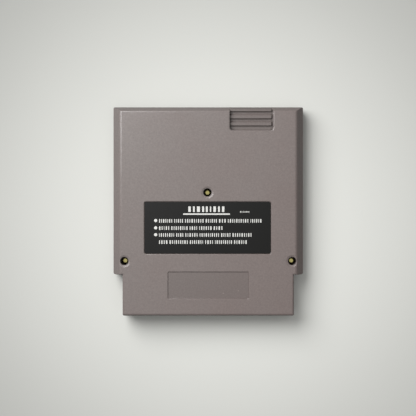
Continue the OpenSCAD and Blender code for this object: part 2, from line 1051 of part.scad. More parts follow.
module memory_chip(x) {
    color([0.13, 0.13, 0.14])
        translate([x, chip_y, chip_z])
            chip_body(memory_l, memory_w);
}

module memory_chip_pins(x) {
    color([0.75, 0.75, 0.74])
        translate([x, chip_y, board_top_z])
            pin_rows(memory_side_pins, memory_rows, memory_w);
}

module program_chip() {
    memory_chip(program_x);
}

module program_chip_pins() {
    memory_chip_pins(program_x);
}

module graphics_chip() {
    memory_chip(graphics_x);
}

module graphics_chip_pins() {
    memory_chip_pins(graphics_x);
}

module lockout_chip() {
    color([0.13, 0.13, 0.14])
        translate([lockout_x, chip_y, chip_z])
            rotate(90)
                chip_body(lockout_l, lockout_w);
}

module lockout_chip_pins() {
    color([0.75, 0.75, 0.74])
        translate([lockout_x, chip_y, board_top_z])
            rotate(90)
                pin_rows(lockout_side_pins, lockout_rows, lockout_w);
}

// Small components

// A lead that leaves a body along X and turns down through the board
module bent_lead(reach, z) {
    translate([-reach, 0, z])
        rotate([0, 90, 0])
            cylinder(d = lead_d, h = reach);
    translate([0, 0, z])
        sphere(d = lead_d);
    translate([0, 0, pin_end_z - board_top_z])
        cylinder(d = lead_d, h = z + board_top_z - pin_end_z);
}

can_z = can_d / 2 + close_fit;

module electrolytic_capacitor() {
    groove = can_d / 16;
    edge = can_d / 12;
    color([0.14, 0.22, 0.42])
        translate([can_x - can_l / 2, small_row_y, board_top_z + can_z])
            rotate([0, 90, 0])
                rotate_extrude()
                    polygon([
                        [0, 0],
                        [can_d / 2 - edge, 0],
                        [can_d / 2, edge],
                        [can_d / 2, can_l - 5 * edge],
                        [can_d / 2 - groove, can_l - 4 * edge],
                        [can_d / 2 - groove, can_l - 3 * edge],
                        [can_d / 2, can_l - 2 * edge],
                        [can_d / 2, can_l - edge],
                        [can_d / 2 - edge, can_l],
                        [0, can_l]
                    ]);
}

module electrolytic_leads() {
    color([0.75, 0.75, 0.74])
        for (i = [0, 1])
            translate([lead_points[i][0], lead_points[i][1], board_top_z])
                bent_lead(can_lead_gap, can_z);
}

disc_z = board_top_z + lead_d + disc_d / 2;

module ceramic_capacitors() {
    edge = disc_t / 4;
    color([0.80, 0.50, 0.20])
        for (i = [0:2])
            translate([disc_x + i * disc_pitch, small_row_y, disc_z])
                rotate([90, 0, 0])
                    rotate_extrude()
                        polygon([
                            [0, -disc_t / 2],
                            [disc_d / 2 - edge, -disc_t / 2],
                            [disc_d / 2, -disc_t / 2 + edge],
                            [disc_d / 2, disc_t / 2 - edge],
                            [disc_d / 2 - edge, disc_t / 2],
                            [0, disc_t / 2]
                        ]);
}

// Straight leads that end where they enter the round edge of a disc
module ceramic_leads() {
    color([0.75, 0.75, 0.74])
        difference() {
            for (i = [2:7])
                translate([lead_points[i][0], lead_points[i][1], pin_end_z])
                    cylinder(d = lead_d, h = disc_z - pin_end_z);
            ceramic_capacitors();
        }
}

resistor_z = resistor_d / 2 + close_fit;

module resistors() {
    bead = resistor_l / 4;
    waist = resistor_d * 0.42;
    edge = resistor_d / 6;
    color([0.82, 0.70, 0.52])
        for (row = [-1, 1])
            translate([
                resistor_x - resistor_l / 2,
                small_row_y + row * resistor_d,
                board_top_z + resistor_z
            ])
                rotate([0, 90, 0])
                    rotate_extrude()
                        polygon([
                            [0, 0],
                            [resistor_d / 2 - edge, 0],
                            [resistor_d / 2, edge],
                            [resistor_d / 2, bead - edge],
                            [waist, bead],
                            [waist, resistor_l - bead],
                            [resistor_d / 2, resistor_l - bead + edge],
                            [resistor_d / 2, resistor_l - edge],
                            [resistor_d / 2 - edge, resistor_l],
                            [0, resistor_l]
                        ]);
}

module resistor_leads() {
    reach = (resistor_leads - resistor_l) / 2;
    color([0.75, 0.75, 0.74])
        for (row = [-1, 1], side = [0, 1])
            translate([resistor_x, small_row_y + row * resistor_d, board_top_z])
                rotate(180 * side)
                    translate([resistor_leads / 2, 0, 0])
                        bent_lead(reach, resistor_z);
}

// Solder joints on the underside of the board

module solder_joint() {
    translate([0, 0, board_z - solder_h])
        cylinder(d1 = solder_d / 2, d2 = solder_d, h = solder_h);
}

module pin_joint() {
    difference() {
        solder_joint();
        translate([-pin_t / 2, -pin_w / 2, board_z - solder_h - cut])
            cube([pin_t, pin_w, solder_h + 2 * cut]);
    }
}

module lead_joint() {
    difference() {
        solder_joint();
        translate([0, 0, board_z - solder_h - cut])
            cylinder(d = lead_d, h = solder_h + 2 * cut);
    }
}

module solder_joints() {
    color([0.70, 0.71, 0.72]) {
        at_memory_pins()
            pin_joint();
        at_lockout_pins()
            pin_joint();
        for (p = lead_points)
            translate(p)
                lead_joint();
    }
}

rear_shell();
front_shell();
rear_label();
middle_screw();
left_screw();
right_screw();
circuit_board();
front_contacts();
rear_contacts();
program_chip();
program_chip_pins();
graphics_chip();
graphics_chip_pins();
lockout_chip();
lockout_chip_pins();
electrolytic_capacitor();
electrolytic_leads();
ceramic_capacitors();
ceramic_leads();
resistors();
resistor_leads();
solder_joints();
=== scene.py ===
"""Looks of a moulded game cartridge: finishes, label print, screw threads and
board traces, with the studio floor, the light and the camera.

Lengths are in metres. The CAD nodes keep their shape and get their finish by
the record's material slots, and everything else is made here.
"""

import json
import math

import bpy
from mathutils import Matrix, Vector


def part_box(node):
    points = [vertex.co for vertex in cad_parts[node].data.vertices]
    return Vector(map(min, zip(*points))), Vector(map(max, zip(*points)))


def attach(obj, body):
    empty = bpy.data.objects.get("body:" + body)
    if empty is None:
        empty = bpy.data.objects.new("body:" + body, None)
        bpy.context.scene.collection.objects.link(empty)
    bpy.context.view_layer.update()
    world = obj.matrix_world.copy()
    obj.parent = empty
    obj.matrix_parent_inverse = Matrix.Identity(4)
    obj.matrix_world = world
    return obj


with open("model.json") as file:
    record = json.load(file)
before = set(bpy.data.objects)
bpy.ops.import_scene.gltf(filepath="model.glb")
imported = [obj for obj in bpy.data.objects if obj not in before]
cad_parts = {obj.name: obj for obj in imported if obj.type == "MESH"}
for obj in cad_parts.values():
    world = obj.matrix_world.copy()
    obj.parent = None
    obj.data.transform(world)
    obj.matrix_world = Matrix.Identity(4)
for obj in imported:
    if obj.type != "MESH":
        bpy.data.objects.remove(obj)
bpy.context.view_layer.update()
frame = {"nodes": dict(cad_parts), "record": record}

MM = 0.001

# Colours in linear light
# The plastic's darker, warmer colour is painted shade, and its lighter, cooler colour is a painted sheen
PLASTIC_SHADED_SIDE = (0.230, 0.185, 0.174)
PLASTIC_LIT_SIDE = (0.240, 0.211, 0.201)
# Painted shade for the plastic's creases
PLASTIC_PAINTED_SHADE = (0.068, 0.047, 0.040)
LABEL_BLACK = (0.0052, 0.0050, 0.0048)
PRINT_WHITE = (0.86, 0.86, 0.82)
PLATING = (0.98, 0.86, 0.36)
SOLDER_MASK = (0.016, 0.095, 0.035)
BARE_LAMINATE = (0.23, 0.24, 0.09)
GOLD = (0.86, 0.62, 0.25)
RESIN = (0.018, 0.018, 0.020)
TIN = (0.70, 0.70, 0.68)
SOLDER = (0.78, 0.79, 0.80)
SLEEVE = (0.020, 0.045, 0.150)
SLEEVE_STRIPE = (0.45, 0.47, 0.50)
DIP = (0.52, 0.20, 0.04)
LACQUER = (0.60, 0.42, 0.22)
FLOOR = (0.800, 0.806, 0.765)

# The range in which most of a noise lies
NOISE_LOW = 0.3
NOISE_HIGH = 0.7

# Gloss and roughness of the plastic and the label, and how much the roughness varies
PLASTIC_GLOSS = 0.75
PLASTIC_POLISH = 0.22
LABEL_GLOSS = 0.44
LABEL_POLISH = 0.40
POLISH_SPREAD = 0.03

# Radii by which shading rounds edges. The fine one is for metals and the board
PLASTIC_EDGE = 0.7 * MM
FINE_EDGE = 0.08 * MM
LABEL_EDGE = 0.1 * MM
CHIP_EDGE = 0.12 * MM
SLEEVE_EDGE = 0.1 * MM
DIP_EDGE = 0.25 * MM
RESISTOR_EDGE = 0.15 * MM

# Painted shade in creases: how far it reaches out of a crease, and the openness at which it is full and
# gone
CREASE_REACH = 2.0 * MM
PLASTIC_CREASE = (0.3, 0.85)
METAL_CREASE = (0.55, 0.95)

# Shades of the plastic's coarse and fine noise
MOTTLE_SHADES = (0.91, 1.09)
GRAIN_RANGE = (0.2, 0.8)
GRAIN_SHADES = (0.95, 1.05)

# Painted light on the plastic: a lighter, cooler painted sheen turns into darker, warmer painted shade with
# rising x and falling y, and drifts a little
PAINTED_SLANT_X = 0.8
PAINTED_SLANT_Y = 0.6
PAINTED_SLANT_DRIFT = 0.10
PAINTED_SLANT_RANGE = (-0.03, 0.13)

# Darker zones of the plastic, the panel and the grip recess: low corner, high corner and shade
DARK_ZONES = (
    (Vector((-25.35, -54.85, 16.2)) * MM, Vector((25.35, -38.15, 16.8)) * MM, 0.86),
    # The grip recess is darker as painted shade
    (Vector((14.0, 51.0, 9.5)) * MM, Vector((40.4, 66.0, 16.35)) * MM, 0.84),
)

# Two light specks in the panel of the rear face
SPECKS = (Vector((9.38, -51.6, 16.6)) * MM, Vector((18.85, -50.0, 16.6)) * MM)
SPECK_INNER = 0.25 * MM
SPECK_OUTER = 0.45 * MM
SPECK_SHADE = 1.45

# Screws, and the matt rims of the bores above them
SCREWS = ("middle_screw", "left_screw", "right_screw")
RIM_INNER = 3.1 * MM
RIM_OUTER = 3.8 * MM
RIM_LOW = 14.0 * MM
RIM_ROUGHNESS = 0.55

# Shade of a metal where it is dull, and the painted shade where it is hemmed in
METAL_DULL = 0.86
METAL_PAINTED_SHADE = 0.12

# Board: thickness of the mask, and how far past the contacts it begins
MASK_SKIN = 0.005 * MM
MASK_MARGIN = 0.3 * MM

# Electrolytic capacitor: how far its ends are bare, and the height of its stripe
SLEEVE_BARE = 0.06 * MM
STRIPE_HEIGHT = 0.35 * MM

# Bands of a resistor: their place, as a share of its length, and their colour
BANDS = (
    (0.14, (0.25, 0.09, 0.03)),
    (0.34, (0.03, 0.03, 0.03)),
    (0.54, (0.45, 0.14, 0.02)),
    (0.84, (0.60, 0.42, 0.12)),
)
HALF_BAND = 0.3 * MM

# Label print: runs of plain blocks, measured from the middle of the body
PRINT_THICKNESS = 0.02 * MM
BLOCK_WIDTHS = tuple(width * MM for width in (0.64, 0.46, 0.78, 0.52, 0.36, 0.70, 0.50))
BLOCK_GAP = 0.74 * MM
BLOCK_CORNER = 0.16 * MM
WORD_GAP = 1.35 * MM
HEADING_WORDS = ((-12.5 * MM, -2.6 * MM), (-1.5 * MM, 10.1 * MM))
HEADING_Y = 1.19 * MM
HEADING_HEIGHT = 3.5 * MM
HEADING_SCALE = 1.7
HEADING_WEIGHT = 1.3
RULE = (-15.75 * MM, 13.55 * MM, -2.33 * MM, -1.45 * MM)
RULE_CORNER = 0.1 * MM
MARK = (20.0 * MM, 25.7 * MM)
MARK_Y = -0.5 * MM
MARK_HEIGHT = 1.0 * MM
MARK_SCALE = 0.55
ROW_START = -30.85 * MM
ROW_HEIGHT = 2.28 * MM
ROWS = (
    (-6.12 * MM, (8.2, 5.4, 11.6, 7.0, 4.2, 12.8, 6.9)),
    (-10.67 * MM, (6.3, 10.2, 4.6, 7.8, 5.4)),
    (-14.98 * MM, (9.4, 4.4, 7.6, 12.1, 5.8, 11.9)),
    (-19.43 * MM, (5.2, 11.4, 8.3, 4.8, 10.6, 7.9)),
)
BULLET_ROWS = 3
BULLET_X = -33.0 * MM
BULLET_RISE = 0.18 * MM
BULLET_R = 1.0 * MM

# How many block widths are skipped from word to word, from row to row and for the mark
WORD_TURN = 3
ROW_TURN = 2
MARK_TURN = 2

# Screw threads: the radii, the stretch above the tip, and how fast they grow from both ends
THREAD_PITCH = 1.1 * MM
THREAD_ROOT = 1.27 * MM
THREAD_CREST = 1.58 * MM
THREAD_FROM = 0.9 * MM
THREAD_TO = 4.9 * MM
THREAD_HALF = 0.32 * THREAD_PITCH
THREAD_START_GROWTH = 6
THREAD_END_GROWTH = 10
THREAD_THINNEST = 0.05
THREAD_STEPS = 28

# Board traces: where they bend and end, in three rows, measured from the contacts. A contact
# that lies farther out than the reach has none
TRACE_SKIN = 0.035 * MM
TRACE_WIDTH = 0.55 * MM
TRACE_JOG = 0.6 * MM
TRACE_REACH = 40.0 * MM
TRACE_ROWS = 3
BEND_START = 1.6 * MM
BEND_STEP = 0.9 * MM
HOLE_START = 5.6 * MM
HOLE_STEP = 1.7 * MM
HOLE_INNER = 0.25 * MM
HOLE_OUTER = 0.6 * MM
CONTACT_PITCH = 2.5 * MM
CONTACT_WIDTH = 1.6 * MM

# The camera looks straight down, as the photograph does
CAMERA_PLACE = Vector((-0.16, 1.94, 617.0)) * MM
CAMERA_LENS = 82.8
CAMERA_SENSOR = 36

# One round lamp at the upper left, under a weak sky
KEY_AZIMUTH = 134
KEY_ELEVATION = 48
KEY_DISTANCE = 0.62
KEY_SIZE = 0.54
KEY_POWER = 4.0
SKY_LIGHT = 0.64
SKY_FALL = 2.0

# What the camera sees of the world, and what gloss sees: a dim sky with a pale patch overhead
BACKDROP = 0.6
REFLECTED = 0.2
OVERHEAD = 0.6
OVERHEAD_EDGE = 0.967

# Floor paper: its tone by distance from the middle, a painted pool of light, the slant of painted
# shade that darkens it towards the lamp, how much of it lights the object, and where it meets the backdrop
FLOOR_RADIUS = 6.0
FLOOR_SIDES = 96
FLOOR_REACH = 0.2
FLOOR_TONES = (
    (0.0, 1.0),
    (0.25, 1.0),
    (0.45, 0.945),
    (0.6, 0.87),
    (0.75, 0.785),
    (0.93, 0.67),
    (1.0, 0.64),
)
FLOOR_SLANT = 1.3
FLOOR_LEVEL = 1.03
FLOOR_BOUNCE = 0.33
FLOOR_ROUGHNESS = 0.95
FLOOR_FADE = (0.25, 0.6)
BACKDROP_COLOUR = (*(c / FLOOR[1] for c in FLOOR), 1.0)


# Nodes


class Nodes:
    """The nodes of a material or world, with short calls to add and join them."""

    def __init__(self, owner):
        owner.use_nodes = True
        self.owner = owner
        self.nodes = owner.node_tree.nodes
        self.links = owner.node_tree.links

    def join(self, value, socket):
        if isinstance(value, bpy.types.NodeSocket):
            self.links.new(value, socket)
        else:
            socket.default_value = value

    def add(self, kind, *values, **settings):
        node = self.nodes.new(kind)
        for key, value in settings.items():
            setattr(node, key, value)
        for socket, value in zip(node.inputs, values):
            self.join(value, socket)
        return node

    def math(self, operation, *values):
        return self.add("ShaderNodeMath", *values, operation=operation).outputs[0]

    def remap(self, value, low, high, out_low, out_high, curve="LINEAR"):
        values = (value, low, high, out_low, out_high)
        return self.add("ShaderNodeMapRange", *values, interpolation_type=curve).outputs[0]

    def rays(self, kind):
        return self.nodes.new("ShaderNodeLightPath").outputs[kind]


class Material(Nodes):
    """A material whose patterns lie in the object's own coordinates."""

    def __init__(self, name):
        super().__init__(bpy.data.materials.new(name))
        self.shader = self.nodes["Principled BSDF"]
        self.place = self.nodes.new("ShaderNodeTexCoord").outputs["Object"]

    def axes(self, names="XYZ"):
        split = self.add("ShaderNodeSeparateXYZ", self.place)
        return [split.outputs[name] for name in names]

    def noise(self, scale, detail=2.0, rough=0.5, stretch=None):
        vector = self.place
        if stretch:
            mapping = self.add("ShaderNodeMapping", vector)
            mapping.inputs["Scale"].default_value = stretch
            vector = mapping.outputs[0]
        node = self.add("ShaderNodeTexNoise", vector)
        node.inputs["Scale"].default_value = scale
        node.inputs["Detail"].default_value = detail
        node.inputs["Roughness"].default_value = rough
        return node.outputs["Fac"]

    def vary(self, pattern, low, high):
        """A value that follows a noise from low to high."""
        return self.remap(pattern, NOISE_LOW, NOISE_HIGH, low, high)

    def switch(self, mask, off, on):
        """A value for where a mask is 0, and another for where it is 1."""
        return self.remap(mask, 0.0, 1.0, off, on)

    def mix(self, factor, a, b):
        node = self.add("ShaderNodeMix", data_type="RGBA")
        for socket, value in ((node.inputs[0], factor), (node.inputs[6], a), (node.inputs[7], b)):
            if isinstance(value, tuple):
                value = (*value, 1.0)
            self.join(value, socket)
        return node.outputs[2]

    def tones(self, pattern, colour, dark=1.0, light=1.0):
        """A colour that varies with a noise between two shades of itself."""
        shades = [tuple(shade * c for c in colour) for shade in (dark, light)]
        return self.mix(self.vary(pattern, 0.0, 1.0), *shades)

    def scaled(self, colour, factor):
        node = self.add("ShaderNodeVectorMath", colour, operation="SCALE")
        self.join(factor, node.inputs["Scale"])
        return node.outputs[0]

    def within(self, value, low, high):
        above = self.math("GREATER_THAN", value, low)
        below = self.math("LESS_THAN", value, high)
        return self.math("MULTIPLY", above, below)

    def inside(self, low, high):
        """A mask of the box between two corners."""
        mask = 1.0
        for value, start, end in zip(self.axes(), low, high):
            mask = self.math("MULTIPLY", mask, self.within(value, start, end))
        return mask

    def distance(self, vector, point):
        return self.add("ShaderNodeVectorMath", vector, point, operation="DISTANCE").outputs["Value"]

    def soft_edges(self, radius, samples=4):
        node = self.nodes.new("ShaderNodeBevel")
        node.samples = samples
        node.inputs["Radius"].default_value = radius
        return node.outputs[0]

    def openness(self, reach, low, high, samples=8):
        """A factor that falls to 0 where nearby surfaces close in, as they do in creases."""
        node = self.nodes.new("ShaderNodeAmbientOcclusion")
        node.samples = samples
        node.inputs["Distance"].default_value = reach
        return self.remap(node.outputs["AO"], low, high, 0.0, 1.0)

    def bump(self, height, depth, strength, normal=None):
        node = self.nodes.new("ShaderNodeBump")
        node.inputs["Strength"].default_value = strength
        node.inputs["Distance"].default_value = depth
        self.join(height, node.inputs["Height"])
        if normal is not None:
            self.join(normal, node.inputs["Normal"])
        return node.outputs[0]

    def finish(self, colour, roughness, normal, metallic=0.0, gloss=0.5):
        self.join(colour, self.shader.inputs["Base Color"])
        self.join(roughness, self.shader.inputs["Roughness"])
        self.join(metallic, self.shader.inputs["Metallic"])
        self.join(gloss, self.shader.inputs["Specular IOR Level"])
        self.join(normal, self.shader.inputs["Normal"])
        return self.owner


# Materials


def centre(node):
    low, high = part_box(node)
    return (low + high) / 2


def plastic_colour(m):
    """A colour with a painted sheen at one corner of the face that turns into painted shade at the other,
    with painted shade in the creases.
    """
    x, y = m.axes("XY")
    # Painted sheen at low x and high y, turning into painted shade at high x and low y
    drift = m.math("MULTIPLY", m.noise(scale=45), PAINTED_SLANT_DRIFT)
    slope = m.math("SUBTRACT", m.math("MULTIPLY", x, PAINTED_SLANT_X), m.math("MULTIPLY", y, PAINTED_SLANT_Y))
    lit_to_shaded = m.remap(m.math("ADD", slope, drift), *PAINTED_SLANT_RANGE, 0.0, 1.0)
    sheen_and_shade = m.mix(lit_to_shaded, PLASTIC_LIT_SIDE, PLASTIC_SHADED_SIDE)
    # Painted shade where nearby surfaces close in
    return m.mix(m.openness(CREASE_REACH, *PLASTIC_CREASE), PLASTIC_PAINTED_SHADE, sheen_and_shade)


def plastic_shade(m, mottle, grain):
    """A shade from both noises, darker in the zones, where the grip recess holds painted shade, and lighter
    at the specks.
    """
    shade = m.vary(mottle, *MOTTLE_SHADES)
    shade = m.math("MULTIPLY", shade, m.remap(grain, *GRAIN_RANGE, *GRAIN_SHADES))
    for low, high, dark in DARK_ZONES:
        shade = m.math("MULTIPLY", shade, m.switch(m.inside(low, high), 1.0, dark))
    for speck in SPECKS:
        away = m.distance(m.place, speck)
        light = m.remap(away, SPECK_INNER, SPECK_OUTER, SPECK_SHADE, 1.0)
        shade = m.math("MULTIPLY", shade, light)
    return shade


def plastic_roughness(m, mottle):
    """A roughness that follows the coarse noise, and is higher on the rims of the bores."""
    rough = m.vary(mottle, PLASTIC_POLISH - POLISH_SPREAD, PLASTIC_POLISH + POLISH_SPREAD)
    flat = m.add("ShaderNodeVectorMath", m.place, (1.0, 1.0, 0.0), operation="MULTIPLY").outputs[0]
    [z] = m.axes("Z")
    upper = m.math("GREATER_THAN", z, RIM_LOW)
    for screw in SCREWS:
        away = m.distance(flat, (*centre(screw).xy, 0.0))
        rim = m.remap(away, RIM_INNER, RIM_OUTER, RIM_ROUGHNESS, 0.0)
        rough = m.math("MAXIMUM", rough, m.math("MULTIPLY", upper, rim))
    return rough


def shell_plastic():
    """Moulded plastic with a coarse mottle and a fine grain."""
    m = Material("shell_plastic")
    mottle = m.noise(scale=900, detail=3, rough=0.7)
    grain = m.noise(scale=2600)
    colour = m.scaled(plastic_colour(m), plastic_shade(m, mottle, grain))
    normal = m.soft_edges(PLASTIC_EDGE, samples=6)
    normal = m.bump(mottle, depth=0.02 * MM, strength=0.5, normal=normal)
    normal = m.bump(grain, depth=0.012 * MM, strength=0.8, normal=normal)
    return m.finish(colour, plastic_roughness(m, mottle), normal, gloss=PLASTIC_GLOSS)


def label_film():
    m = Material("label_film")
    weave = m.noise(scale=1500, rough=0.6)
    colour = m.tones(m.noise(scale=70), LABEL_BLACK, light=1.14)
    rough = m.vary(weave, LABEL_POLISH - POLISH_SPREAD, LABEL_POLISH + POLISH_SPREAD)
    normal = m.bump(weave, depth=0.006 * MM, strength=0.6, normal=m.soft_edges(LABEL_EDGE))
    return m.finish(colour, rough, normal, gloss=LABEL_GLOSS)


def print_ink():
    m = Material("print_ink")
    speckle = m.noise(scale=2400, rough=0.6)
    colour = m.tones(speckle, PRINT_WHITE, dark=0.93)
    rough = m.vary(speckle, 0.5, 0.6)
    normal = m.bump(speckle, depth=0.004 * MM, strength=0.5)
    return m.finish(colour, rough, normal)


def metal(name, colour, polish, scale, depth, stretch=None, shade_reach=None):
    """A metal whose polish and tone vary with one noise, with painted shade where it is hemmed in."""
    m = Material(name)
    pattern = m.noise(scale, detail=3, rough=0.6, stretch=stretch)
    tone = m.tones(pattern, colour, dark=METAL_DULL)
    if shade_reach:
        # Painted shade where the metal is hemmed in
        shade_colour = tuple(METAL_PAINTED_SHADE * c for c in colour)
        tone = m.mix(m.openness(shade_reach, *METAL_CREASE), shade_colour, tone)
    normal = m.bump(pattern, depth, strength=0.6, normal=m.soft_edges(FINE_EDGE))
    return m.finish(tone, m.vary(pattern, *polish), normal, metallic=1.0)


def board_laminate():
    """Green mask on both faces, with bare laminate at the contacts and on the sides."""
    m = Material("board_laminate")
    y, z = m.axes("YZ")
    low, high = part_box("circuit_board")
    mask_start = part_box("rear_contacts")[1].y + MASK_MARGIN
    weave = m.noise(scale=1100)
    faces = m.math("SUBTRACT", 1.0, m.within(z, low.z + MASK_SKIN, high.z - MASK_SKIN))
    coated = m.math("MULTIPLY", faces, m.math("GREATER_THAN", y, mask_start))
    bare = m.tones(weave, BARE_LAMINATE, dark=0.85)
    mask = m.tones(weave, SOLDER_MASK, light=1.25)
    rough = m.switch(coated, off=0.55, on=0.28)
    normal = m.bump(weave, depth=0.01 * MM, strength=0.5, normal=m.soft_edges(FINE_EDGE))
    return m.finish(m.mix(coated, bare, mask), rough, normal)


def chip_resin():
    m = Material("chip_resin")
    grit = m.noise(scale=2200, rough=0.6)
    colour = m.tones(grit, RESIN, light=1.5)
    rough = m.vary(grit, 0.5, 0.62)
    normal = m.bump(grit, depth=0.02 * MM, strength=0.8, normal=m.soft_edges(CHIP_EDGE))
    return m.finish(colour, rough, normal)


def capacitor_sleeve():
    """Shrink sleeve with a pale stripe along its upper side and bare metal ends."""
    m = Material("capacitor_sleeve")
    x, z = m.axes("XZ")
    low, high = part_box("electrolytic_capacitor")
    stripe = m.math("GREATER_THAN", z, high.z - STRIPE_HEIGHT)
    ends = m.math("SUBTRACT", 1.0, m.within(x, low.x + SLEEVE_BARE, high.x - SLEEVE_BARE))
    colour = m.mix(ends, m.mix(stripe, SLEEVE, SLEEVE_STRIPE), TIN)
    ripple = m.noise(scale=900)
    rough = m.vary(ripple, 0.25, 0.34)
    normal = m.bump(ripple, depth=0.01 * MM, strength=0.5, normal=m.soft_edges(SLEEVE_EDGE))
    return m.finish(colour, rough, normal, metallic=ends)


def capacitor_dip():
    m = Material("capacitor_dip")
    lumps = m.noise(scale=420, detail=3, rough=0.6)
    colour = m.tones(lumps, DIP, dark=0.8)
    rough = m.vary(lumps, 0.28, 0.38)
    normal = m.bump(lumps, depth=0.12 * MM, strength=0.7, normal=m.soft_edges(DIP_EDGE))
    return m.finish(colour, rough, normal)


def resistor_coat():
    """Beige lacquer with four generic colour bands."""
    m = Material("resistor_coat")
    [x] = m.axes("X")
    low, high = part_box("resistors")
    colour = LACQUER
    for share, band in BANDS:
        middle = low.x + share * (high.x - low.x)
        colour = m.mix(m.within(x, middle - HALF_BAND, middle + HALF_BAND), colour, band)
    skin = m.noise(scale=1300)
    rough = m.vary(skin, 0.32, 0.42)
    normal = m.bump(skin, depth=0.01 * MM, strength=0.5, normal=m.soft_edges(RESISTOR_EDGE))
    return m.finish(colour, rough, normal)


def floor_paper():
    """Pale studio paper whose painted pool of light falls off around the middle, with painted shade towards
    the lamp, and which fades into the backdrop.
    """
    m = Material("floor_paper")
    x, y = m.axes("XY")
    radius = m.math("SQRT", m.math("ADD", m.math("MULTIPLY", x, x), m.math("MULTIPLY", y, y)))
    # Painted pool of light, falling off with distance from the middle
    ramp = m.add("ShaderNodeValToRGB", m.math("DIVIDE", radius, FLOOR_REACH))
    ramp.color_ramp.interpolation = "B_SPLINE"
    stops = ramp.color_ramp.elements
    for place, _ in FLOOR_TONES[1:-1]:
        stops.new(place)
    for stop, (_, level) in zip(stops, FLOOR_TONES):
        stop.color = (level, level, level, 1.0)
    # Painted shade that darkens the floor towards the lamp
    slant = m.math("MULTIPLY", m.math("SUBTRACT", x, y), FLOOR_SLANT)
    tone = m.math("MULTIPLY", ramp.outputs[0], m.math("ADD", slant, FLOOR_LEVEL))

    seen = m.rays("Is Camera Ray")
    tone = m.math("MULTIPLY", tone, m.switch(seen, FLOOR_BOUNCE, 1.0))
    normal = m.bump(m.noise(scale=700, detail=3, rough=0.6), depth=0.02 * MM, strength=0.3)
    m.finish(m.scaled(FLOOR, tone), FLOOR_ROUGHNESS, normal, gloss=0.0)

    fade = m.remap(radius, *FLOOR_FADE, 0.0, 1.0, curve="SMOOTHSTEP")
    share = m.math("MULTIPLY", fade, seen)
    glow = m.add("ShaderNodeEmission", BACKDROP_COLOUR, BACKDROP)
    blend = m.add("ShaderNodeMixShader", share, m.shader.outputs[0], glow.outputs[0])
    m.join(blend.outputs[0], m.nodes["Material Output"].inputs["Surface"])
    return m.owner


# Meshes


def mesh_object(name, vertices, faces, material):
    mesh = bpy.data.meshes.new(name)
    mesh.from_pydata(vertices, [], faces)
    mesh.validate()
    mesh.materials.append(material)
    piece = bpy.data.objects.new(name, mesh)
    bpy.context.scene.collection.objects.link(piece)
    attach(piece, "root")


def circle(cx, cy, radius, steps):
    angles = [2 * math.pi * i / steps for i in range(steps)]
    return [(cx + radius * math.cos(angle), cy + radius * math.sin(angle)) for angle in angles]


class Plates:
    """Gathers flat shapes of one thickness into one mesh."""

    def __init__(self, low, high):
        self.low, self.high = low, high
        self.vertices, self.faces = [], []

    def outline(self, points):
        """A closed plate inside a line of points that runs anticlockwise."""
        n, base = len(points), len(self.vertices)
        self.vertices += [(x, y, self.low) for x, y in points]
        self.vertices += [(x, y, self.high) for x, y in points]
        self.faces.append([base + n + i for i in range(n)])
        self.faces.append([base + i for i in reversed(range(n))])
        for i in range(n):
            j = (i + 1) % n
            self.faces.append([base + i, base + j, base + n + j, base + n + i])

    def bar(self, x0, x1, y0, y1, radius, steps=4):
        """A rectangle with rounded corners."""
        points = []
        corners = (
            (x1 - radius, y1 - radius, 0),
            (x0 + radius, y1 - radius, 90),
            (x0 + radius, y0 + radius, 180),
            (x1 - radius, y0 + radius, 270),
        )
        for cx, cy, start in corners:
            for i in range(steps + 1):
                angle = math.radians(start + 90 * i / steps)
                points.append((cx + radius * math.cos(angle), cy + radius * math.sin(angle)))
        self.outline(points)

    def disc(self, cx, cy, radius, steps=28):
        self.outline(circle(cx, cy, radius, steps))

    def ring(self, cx, cy, inner, outer, steps=16):
        """A flat ring with an open hole."""
        base = len(self.vertices)
        loops = ((inner, self.low), (outer, self.low), (outer, self.high), (inner, self.high))
        for radius, z in loops:
            self.vertices += [(x, y, z) for x, y in circle(cx, cy, radius, steps)]
        for side in range(len(loops)):
            here = base + side * steps
            after = base + (side + 1) % len(loops) * steps
            for i in range(steps):
                j = (i + 1) % steps
                self.faces.append([here + i, here + j, after + j, after + i])

    def object(self, name, material, slot):
        mesh_object(name, self.vertices, self.faces, material)


# Label print


def word(plates, x0, x1, y, height, turn, scale=1.0, weight=1.0):
    """Fills a length with plain blocks, starting with the width that turn points to."""
    gap = scale * BLOCK_GAP
    widths = []
    length = -gap
    while True:
        width = weight * scale * BLOCK_WIDTHS[(turn + len(widths)) % len(BLOCK_WIDTHS)]
        if widths and length + gap + width / 2 > x1 - x0:
            break
        widths.append(width)
        length += gap + width
    fit = (x1 - x0) / length
    x = x0
    for width in widths:
        plates.bar(x, x + fit * width, y - height / 2, y + height / 2, BLOCK_CORNER * scale)
        x += fit * (width + gap)


def label_print(material):
    """A heading with a rule, one small mark, and four rows of blocks with three bullets."""
    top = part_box("rear_label")[1].z
    plates = Plates(top, top + PRINT_THICKNESS)
    for i, (x0, x1) in enumerate(HEADING_WORDS):
        word(plates, x0, x1, HEADING_Y, HEADING_HEIGHT, WORD_TURN * i, HEADING_SCALE, HEADING_WEIGHT)
    plates.bar(*RULE, RULE_CORNER)
    word(plates, *MARK, MARK_Y, MARK_HEIGHT, MARK_TURN, MARK_SCALE)
    for row, (y, lengths) in enumerate(ROWS):
        x = ROW_START
        for i, length in enumerate(lengths):
            word(plates, x, x + length * MM, y, ROW_HEIGHT, ROW_TURN * row + WORD_TURN * i)
            x += length * MM + WORD_GAP
        if row < BULLET_ROWS:
            plates.disc(BULLET_X, y + BULLET_RISE, BULLET_R)
    plates.object("label_print", material, "label_film")


# Screw threads


